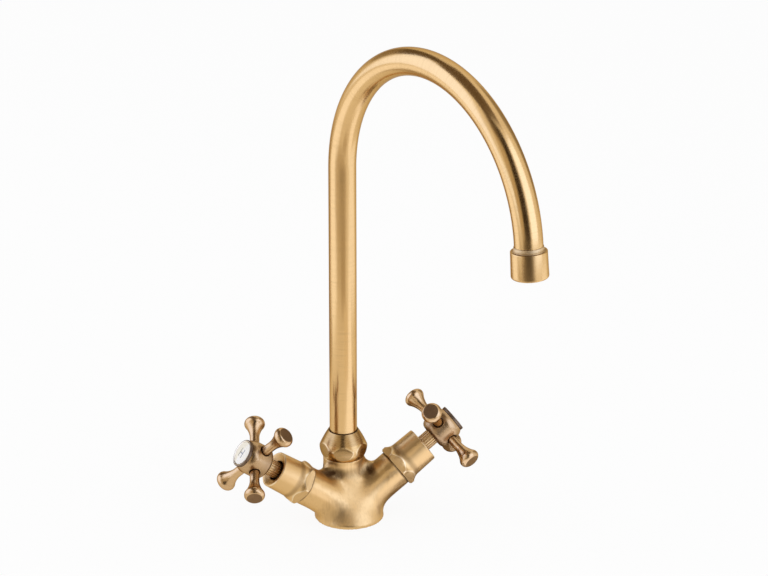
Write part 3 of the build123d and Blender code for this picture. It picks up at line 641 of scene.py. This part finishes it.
# Spout: a drawn brass tube, bent to one wide arc, with a turned tail soldered in its foot for the two seals.
# It is brushed across, round the tube, before the dip.
tube_r = 10.0
tube_wall = 1.2
tube_foot = 57.05
arc_z = 268.0
arc_r = 106.0
arc_sweep = radians(175)
outlet_run = 7.7
spout_turn = radians(14.8)
spout_plane = column @ Matrix.Rotation(spout_turn, 4, "Z")
tube_facets = 64
rise_steps = 40
rise = (arc_z - tube_foot) / rise_steps
bend_steps = 140


def rim_of(bm, ring):
    """The edges that join a ring's vertices."""
    return [edge for edge in bm.edges if edge.verts[0] in ring and edge.verts[1] in ring]


def ring_in(grown):
    """The vertices in what an operator has grown."""
    return [part for part in grown if isinstance(part, bmesh.types.BMVert)]


def carried(bm, ring, way):
    """Extrudes a ring this way and returns the new ring's vertices."""
    grown = ring_in(bmesh.ops.extrude_edge_only(bm, edges=rim_of(bm, ring))["geom"])
    bmesh.ops.translate(bm, verts=grown, vec=way)
    return grown


bm = bmesh.new()
foot_place = Matrix.Translation((0, 0, tube_foot))
lip = bmesh.ops.create_circle(bm, radius=tube_r, segments=tube_facets, matrix=foot_place)["verts"]
for step in range(rise_steps):
    lip = carried(bm, lip, (0, 0, rise))
arc_middle = (0, -arc_r, arc_z)
bend = bmesh.ops.spin(
    bm, geom=lip + rim_of(bm, lip), cent=arc_middle, axis=(1, 0, 0), angle=arc_sweep, steps=bend_steps
)
stream = Vector((0, -sin(arc_sweep), cos(arc_sweep)))
carried(bm, ring_in(bend["geom_last"]), stream * outlet_run)
bmesh.ops.recalc_face_normals(bm, faces=bm.faces)
lengths = bm.loops.layers.uv.new("length")
for face in bm.faces:
    for corner in face.loops:
        spot = corner.vert.co
        round_arc = atan2(spot.z - arc_z, spot.y + arc_r)
        run = spot.z if spot.z < arc_z and spot.y > -arc_r else arc_z + arc_r * max(round_arc, 0)
        corner[lengths].uv = (spot.x, run)
bmesh.ops.transform(bm, matrix=spout_plane @ Matrix.Scale(mm, 4), verts=bm.verts)

tube_grain = (0.05, 1.2, 0)
tube_contrast = 1.3
tube_brass, shade = new_finish("tube_brass")
brushing = shade.node("UVMap", {"uv_map": "length"}).stretched(tube_grain).noise(scale=1, detail=3)
clouds = shade.node("TexCoord", output="Object").noise(scale=60, detail=2)
strong_lines = (brushing - 0.5) * tube_contrast + 0.5
finish_brass(shade, strong_lines, clouds, polish=0.22, cut=0.09)
tube = piece("bent_spout_tube", bm, tube_brass, "spout", "aged_brass", "spout_tube")
wall = tube.modifiers.new("wall", "SOLIDIFY")
wall.thickness = tube_wall * mm
wall.offset = -1
tail_brass = brushed_brass("tail_brass", column, lathe_grain, tarnish=0.1)
dressed(tail_brass, "spout_tail")
dressed(rubber, "spout_o_rings")


# Outlet: a turned collar is soldered on the tube's end, and the aerator's cup is screwed on its thread.
# The cup, turned from bar, holds a rubber washer and a moulded insert with a rose of small holes.
collar_run = 3.7
arc_end = Vector((0, -arc_r + arc_r * cos(arc_sweep), arc_z + arc_r * sin(arc_sweep)))
outlet_place = Matrix.Translation((arc_end + stream * collar_run) * mm)
outlet = spout_plane @ outlet_place @ stream.to_track_quat("Z", "Y").to_matrix().to_4x4()
collar_outline = [
    (10.05, -3.2, 0),
    (10.35, -3.0, 0),
    (10.35, -1.55, 1.45),
    (11.4, 0, 0),
    (10.9, 0, 0),
    (10.9, 8.6, 0.3),
    (9.0, 8.6, 0),
    (9.0, 4.3, 0),
    (10.05, 4.3, 0),
]
cup_outline = [
    (11.0, 0, 0),
    (12.8, 0, 0.5),
    (13.1, 19.2, 1.7),
    (9.6, 19.2, 0.3),
    (9.6, 17.7, 0),
    (11.0, 17.7, 0),
]
outlet_grain = (60, 60, 1300)
collar_brass = brushed_brass("collar_brass", outlet, outlet_grain, tarnish=0.25, polish=0.5)
collar = turned(collar_outline, outlet, ring=True)
piece("turned_outlet_collar", collar, collar_brass, "spout", "aged_brass", "outlet_collar")
cup_brass, shade = new_finish("cup_brass")
point, turning, clouds = brass_marks(shade, outlet, outlet_grain)
# A painted reflection: a ragged dark band down the side of the cup that faces the camera.
streak_turn = radians(-22)
streak_side = (1, 6)
streak_back = (-4, 0)
streak_raggedness = 4
reflection_depth = 0.4
streak_place = Matrix.Translation(outlet.translation) @ Matrix.Rotation(streak_turn, 4, "Z")
by_streak = own_point(shade, streak_place)
ragged = abs(part_of(by_streak, "X")) + (turning - 0.5) * streak_raggedness
painted_reflection = (1 - ragged.steps(*streak_side)) * (1 - part_of(by_streak, "Y").steps(*streak_back))
finish_brass(shade, turning, clouds, polish=0.24, painted_shade_and_dip=painted_reflection * reflection_depth)
cup = turned(cup_outline, outlet, ring=True)
piece("turned_aerator_cup", cup, cup_brass, "spout", "aged_brass", "aerator_housing")
dressed(rubber, "aerator_washer")
dressed(nylon, "aerator_insert")


# Stage: a pale floor that keeps the tap's shadow, white surroundings and two soft lamps at a plain level.
# Brass shows what stands round it, so cards that only reflections see give it its streaks: dark flags by the
# camera, behind and above, pale faces where the lamps are, and small cards close to the body.
def stage_plate(name, size, place, material):
    """A flat rectangle for the floor or a card."""
    bm = bmesh.new()
    bmesh.ops.create_grid(bm, x_segments=1, y_segments=1, size=0.5)
    bmesh.ops.transform(bm, matrix=place @ Matrix.Diagonal((*size, 1, 1)), verts=bm.verts)
    mesh = bpy.data.meshes.new(name)
    bm.to_mesh(mesh)
    bm.free()
    mesh.materials.append(material)
    made = bpy.data.objects.new(name, mesh)
    bpy.context.scene.collection.objects.link(made)
    return made


def looked_at(shade):
    """1 where the camera, a reflection or a clear piece looks, and 0 where light only falls."""
    rays = [shade.node("LightPath", output=f"Is {ray} Ray") for ray in ("Camera", "Glossy", "Transmission")]
    return rays[0] + rays[1] + rays[2]


white = (1, 1, 1, 1)
pale_grey = (0.9, 0.9, 0.9, 1)
paper, shade = new_finish("floor_paper")
floor_size = (8, 8)
floor_glow = 0.9
lit = shade.node("BsdfDiffuse", inputs={"Color": pale_grey})
glow = shade.node("Emission", inputs={"Color": white, "Strength": 1.0})
sheet = shade.node("MixShader", inputs={0: looked_at(shade) * floor_glow, 1: lit, 2: glow})
shade.node("OutputMaterial", inputs={"Surface": sheet})
stage_plate("floor", floor_size, upright, paper)

camera_side = Vector((-0.3743, -0.9273, 0))
camera_right = Vector((0.9273, -0.3743, 0))
above = Vector((0, 0, 1))
room_middle = Vector((0, -0.05, 0.0))
foot_middle = Vector()


def toward(turn):
    """The level direction at a turn, in degrees, from the camera's side to the picture's right."""
    return camera_side * cos(radians(turn)) + camera_right * sin(radians(turn))


def standing(turn):
    """The frame of a plate that stands upright at a turn and faces the middle."""
    return Matrix((above.cross(toward(turn)), above, toward(turn))).transposed().to_4x4()


def lying(turn):
    """The frame of a plate that lies on the floor with its far side at a turn."""
    return Matrix((above.cross(toward(turn)), -toward(turn), above)).transposed().to_4x4()


def stage_card(name, size, place, colour):
    """A card of one colour that shows in reflections only."""
    face, shade = new_finish(name)
    shade.node("OutputMaterial", inputs={"Surface": shade.node("Emission", inputs={"Color": (*colour, 1)})})
    card = stage_plate(name, size, place, face)
    card.visible_camera = False
    card.visible_diffuse = False
    card.visible_shadow = False
    card.visible_transmission = False


standing_cards = [
    (room_middle, "camera_flag", 1.5, 1.5, 1.1, 0.02, 3.2, (0.05, 0.036, 0.02)),
    (room_middle, "near_front_card", 0, 0.15, 0.13, 0.075, 0.135, (0.6, 0.54, 0.44)),
    (room_middle, "camera_flag_left", -31, 1.55, 0.85, 0.02, 1.5, (0.68, 0.6, 0.46)),
    (room_middle, "camera_flag_high", -31, 1.55, 0.85, 1.5, 3.2, (0.18, 0.14, 0.09)),
    (room_middle, "left_softbox_face", -97, 1.4, 1.66, 0.02, 1.8, (1.48, 1.74, 2.6)),
    (room_middle, "right_softbox_face", 54.5, 1.4, 1.24, 0.02, 2.2, (1.64, 1.94, 2.8)),
    (room_middle, "left_low_card", -60, 1.42, 0.8, 0.02, 0.42, (1.36, 1.57, 2.15)),
    (room_middle, "back_flag_left", -150, 1.5, 0.9, 0.42, 0.9, (0.42, 0.37, 0.3)),
    (room_middle, "back_flag_high", -146, 1.5, 1.0, 0.9, 3.2, (0.15, 0.115, 0.075)),
    (room_middle, "back_flag_right", 132, 1.5, 0.95, 0.1, 1.6, (0.4, 0.36, 0.3)),
    (foot_middle, "arm_card", 26, 0.084, 0.056, 0.066, 0.13, (0.95, 0.92, 0.86)),
]
for start, name, turn, distance, width, low, high, colour in standing_cards:
    centre = start + toward(turn) * distance + above * (low + high) / 2
    stage_card(name, (width, high - low), Matrix.Translation(centre) @ standing(turn), colour)
lying_cards = [
    (room_middle, "front_floor_card", -16, 0.545, 1.1, 0.35, (0.67, 0.62, 0.54)),
    (room_middle, "far_floor_card", -2, 1.11, 1.1, 0.78, (0.1, 0.075, 0.045)),
    (room_middle, "left_floor_card", -88, 0.75, 0.62, 0.8, (1.4, 1.52, 1.9)),
    (room_middle, "right_floor_card", 90, 0.75, 0.6, 0.8, (1.35, 1.48, 1.85)),
    (room_middle, "back_floor_card", -136, 0.7, 0.4, 0.8, (0.6, 0.54, 0.46)),
    (foot_middle, "near_right_card", 58, 0.24, 0.18, 0.4, (1.4, 1.5, 1.85)),
    (foot_middle, "near_back_card", 136, 0.075, 0.12, 0.1, (0.25, 0.2, 0.14)),
]
card_lift = 0.002
for start, name, turn, distance, width, depth, colour in lying_cards:
    centre = start + toward(turn) * distance + above * card_lift
    stage_card(name, (width, depth), Matrix.Translation(centre) @ lying(turn), colour)
top_centre = room_middle + toward(-100) * 0.35 + above * 1.9
stage_card("top_flag", (1.7, 1.7), Matrix.Translation(top_centre), (0.16, 0.12, 0.08))

world = bpy.data.worlds.new("studio")
bpy.context.scene.world = world
world.use_nodes = True
world.node_tree.nodes.clear()
shade = Shade(world.node_tree)
falling = shade.node("Background", inputs={"Color": white, "Strength": 0.75})
backdrop = shade.node("Background", inputs={"Color": white, "Strength": 1.0})
room = shade.node("MixShader", inputs={0: looked_at(shade), 1: falling, 2: backdrop})
shade.node("OutputWorld", inputs={"Surface": room})

lamps = [
    ("left_softbox", -104, 1.45, 1.25, 1.7, 0.9, 1.0),
    ("right_softbox", 59, 1.45, 1.5, 1.9, 1.1, 1.1),
]
for name, turn, distance, width, tallness, centre_height, level in lamps:
    lamp = bpy.data.lights.new(name, "AREA")
    lamp.shape = "RECTANGLE"
    lamp.size = width
    lamp.size_y = tallness
    lamp.energy = level * pi * width * tallness
    softbox = bpy.data.objects.new(name, lamp)
    centre = room_middle + toward(turn) * distance + above * centre_height
    softbox.matrix_world = Matrix.Translation(centre) @ standing(turn)
    softbox.visible_glossy = False
    bpy.context.scene.collection.objects.link(softbox)


# Camera: a long lens a little above the tap and to its left, as in the photograph.
# It looks down at the tap from three metres away, with its frame level and no shift.
lens = bpy.data.cameras.new("camera")
lens.lens = 195.5
lens.sensor_width = 36
lens.clip_end = 50
camera_up = Vector((0.1441, 0.3569, 0.9229))
camera_back = Vector((-0.3454, -0.8558, 0.3849))
camera_place = Matrix.Translation((-1.0069, -2.5627, 1.3280))
viewer = bpy.data.objects.new("camera", lens)
viewer.matrix_world = camera_place @ Matrix((camera_right, camera_up, camera_back)).transposed().to_4x4()
bpy.context.scene.collection.objects.link(viewer)
bpy.context.scene.camera = viewer
bpy.context.scene.view_settings.view_transform = "Standard"

bpy.context.view_layer.update()
